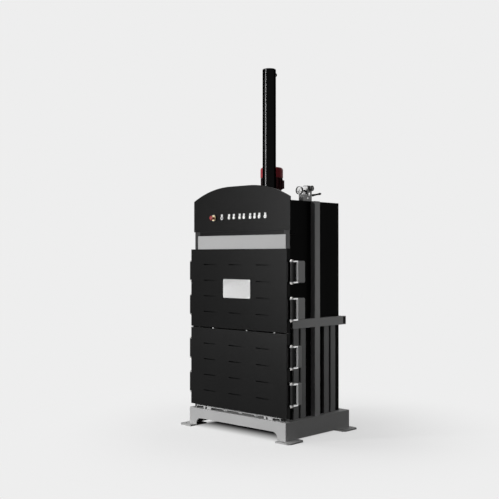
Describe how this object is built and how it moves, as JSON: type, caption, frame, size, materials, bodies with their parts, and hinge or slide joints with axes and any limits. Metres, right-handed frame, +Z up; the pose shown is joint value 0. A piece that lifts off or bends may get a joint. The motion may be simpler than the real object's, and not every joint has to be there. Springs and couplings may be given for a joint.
{
  "type": "recycling baler",
  "caption": "Upright recycling baler: floor frame, ribbed chamber, split front doors on hinge pins, arched control hood, and a tall press cylinder with its motor on top.",
  "frame": {"origin": "on the floor, in the middle of the outline of the four foot plates", "axes": "+X to the right across the front, +Y to the back, +Z up"},
  "size_m": [1.3, 0.93, 3.174],
  "materials": {
    "black_paint": "satin powder coat",
    "grey_paint": "satin powder coat",
    "platen_paint": "worn satin paint",
    "steel": "zinc plated",
    "chromed_rod": "hard chrome",
    "guide_plastic": "matte",
    "red_paint": "satin",
    "black_plastic": "matte",
    "light_plastic": "gloss",
    "yellow_plastic": "gloss",
    "red_plastic": "gloss",
    "dial_white": "matte",
    "gauge_glass": "clear"
  },
  "bodies": {
    "machine": {"base_frame": "grey_paint", "belts_left": "grey_paint", "belts_right": "grey_paint", "brackets_left": "grey_paint", "brackets_right": "grey_paint", "column_left": "grey_paint", "column_right": "grey_paint", "contact_blocks": "black_plastic", "cylinder_flange": "black_paint", "cylinder_tube": "black_paint", "floor_plate": "grey_paint", "foot_plate_front_left": "grey_paint", "foot_plate_front_right": "grey_paint", "foot_plate_rear_left": "grey_paint", "foot_plate_rear_right": "grey_paint", "front_beam": "grey_paint", "gauge_case": "black_plastic", "gauge_dial": "dial_white", "gauge_glass": "gauge_glass", "header_plate": "black_paint", "hinge_pins": "steel", "hood": "black_paint", "lamp_lenses": "light_plastic", "motor": "black_paint", "motor_cowl": "red_paint", "oil_tank": "black_paint", "rear_belt": "grey_paint", "rear_wall": "black_paint", "ribs_left": "grey_paint", "ribs_rear": "grey_paint", "ribs_right": "grey_paint", "shoulder_cover_left": "black_paint", "shoulder_cover_right": "black_paint", "side_wall_left": "black_paint", "side_wall_right": "black_paint", "stop_collar": "yellow_plastic", "switch_bezels": "light_plastic", "top_plate": "black_paint", "valve_block": "steel"},
    "upper_door": {"upper_door": "black_paint"},
    "lower_door": {"lower_door": "black_paint", "strap_guides": "grey_paint"},
    "press": {"platen": "platen_paint", "guide_pads": "guide_plastic", "piston_rod": "chromed_rod"},
    "motor_fan": {"motor_fan": "black_plastic"},
    "stop_head": {"stop_head": "red_plastic"},
    "selector_knob": {"selector_knob": "light_plastic"},
    "gauge_needle": {"gauge_needle": "black_plastic"},
    "valve_lever": {"valve_lever": "black_plastic"},
    "pressure_knob": {"pressure_knob": "black_plastic"},
    "lock_pin_upper_door_top": {"lock_pin_upper_door_top": "steel"},
    "lock_pin_upper_door_bottom": {"lock_pin_upper_door_bottom": "steel"},
    "lock_pin_lower_door_top": {"lock_pin_lower_door_top": "steel"},
    "lock_pin_lower_door_bottom": {"lock_pin_lower_door_bottom": "steel"},
    "push_button_1": {"push_button_1": "light_plastic"},
    "push_button_2": {"push_button_2": "light_plastic"},
    "push_button_3": {"push_button_3": "light_plastic"},
    "push_button_4": {"push_button_4": "light_plastic"},
    "push_button_5": {"push_button_5": "light_plastic"}
  },
  "joints": [
    {"name": "upper_door_hinge", "type": "hinge", "parent": "machine", "child": "upper_door", "pos_m": [-0.592, -0.363, 1.227], "axis": [0, 0, -1], "range_deg": [0, 110]},
    {"name": "lower_door_hinge", "type": "hinge", "parent": "machine", "child": "lower_door", "pos_m": [-0.592, -0.363, 0.535], "axis": [0, 0, -1], "range_deg": [0, 110]},
    {"name": "press_stroke", "type": "slide", "parent": "machine", "child": "press", "axis": [0, 0, -1], "range_m": [0, 1]},
    {"name": "lock_pin_upper_door_top_turn", "type": "hinge", "parent": "machine", "child": "lock_pin_upper_door_top", "pos_m": [0.592, -0.363, 1.379], "axis": [0, 0, 1], "range_deg": [0, 180]},
    {"name": "lock_pin_upper_door_bottom_turn", "type": "hinge", "parent": "machine", "child": "lock_pin_upper_door_bottom", "pos_m": [0.592, -0.363, 1.075], "axis": [0, 0, 1], "range_deg": [0, 180]},
    {"name": "lock_pin_lower_door_top_turn", "type": "hinge", "parent": "machine", "child": "lock_pin_lower_door_top", "pos_m": [0.592, -0.363, 0.687], "axis": [0, 0, 1], "range_deg": [0, 180]},
    {"name": "lock_pin_lower_door_bottom_turn", "type": "hinge", "parent": "machine", "child": "lock_pin_lower_door_bottom", "pos_m": [0.592, -0.363, 0.383], "axis": [0, 0, 1], "range_deg": [0, 180]},
    {"name": "push_button_1_press", "type": "slide", "parent": "machine", "child": "push_button_1", "axis": [0, 1, 0], "range_m": [0, 0.004], "stiffness_N_per_m": 600, "springref_m": -0.002},
    {"name": "push_button_2_press", "type": "slide", "parent": "machine", "child": "push_button_2", "axis": [0, 1, 0], "range_m": [0, 0.004], "stiffness_N_per_m": 600, "springref_m": -0.002},
    {"name": "push_button_3_press", "type": "slide", "parent": "machine", "child": "push_button_3", "axis": [0, 1, 0], "range_m": [0, 0.004], "stiffness_N_per_m": 600, "springref_m": -0.002},
    {"name": "push_button_4_press", "type": "slide", "parent": "machine", "child": "push_button_4", "axis": [0, 1, 0], "range_m": [0, 0.004], "stiffness_N_per_m": 600, "springref_m": -0.002},
    {"name": "push_button_5_press", "type": "slide", "parent": "machine", "child": "push_button_5", "axis": [0, 1, 0], "range_m": [0, 0.004], "stiffness_N_per_m": 600, "springref_m": -0.002},
    {"name": "selector_turn", "type": "hinge", "parent": "machine", "child": "selector_knob", "pos_m": [-0.213, -0.365, 1.841], "axis": [0, 1, 0], "range_deg": [0, 90]},
    {"name": "stop_press", "type": "slide", "parent": "machine", "child": "stop_head", "axis": [0, 1, 0], "range_m": [0, 0.005]},
    {"name": "gauge_needle_turn", "type": "hinge", "parent": "machine", "child": "gauge_needle", "pos_m": [0.47, -0.125, 2.062], "axis": [0, 1, 0], "range_deg": [0, 270], "stiffness_Nm_per_rad": 0.0005, "springref_deg": -11.46},
    {"name": "valve_lever_swing", "type": "hinge", "parent": "machine", "child": "valve_lever", "pos_m": [0.47, 0.026, 2.024], "axis": [1, 0, 0], "range_deg": [-15, 15]},
    {"name": "pressure_knob_turn", "type": "hinge", "parent": "machine", "child": "pressure_knob", "pos_m": [0.5, 0.002, 2.084], "axis": [1, 0, 0], "continuous": true},
    {"name": "motor_fan_spin", "type": "hinge", "parent": "machine", "child": "motor_fan", "pos_m": [-0.146, 0.222, 2.25], "axis": [0, 0, 1], "continuous": true}
  ]
}
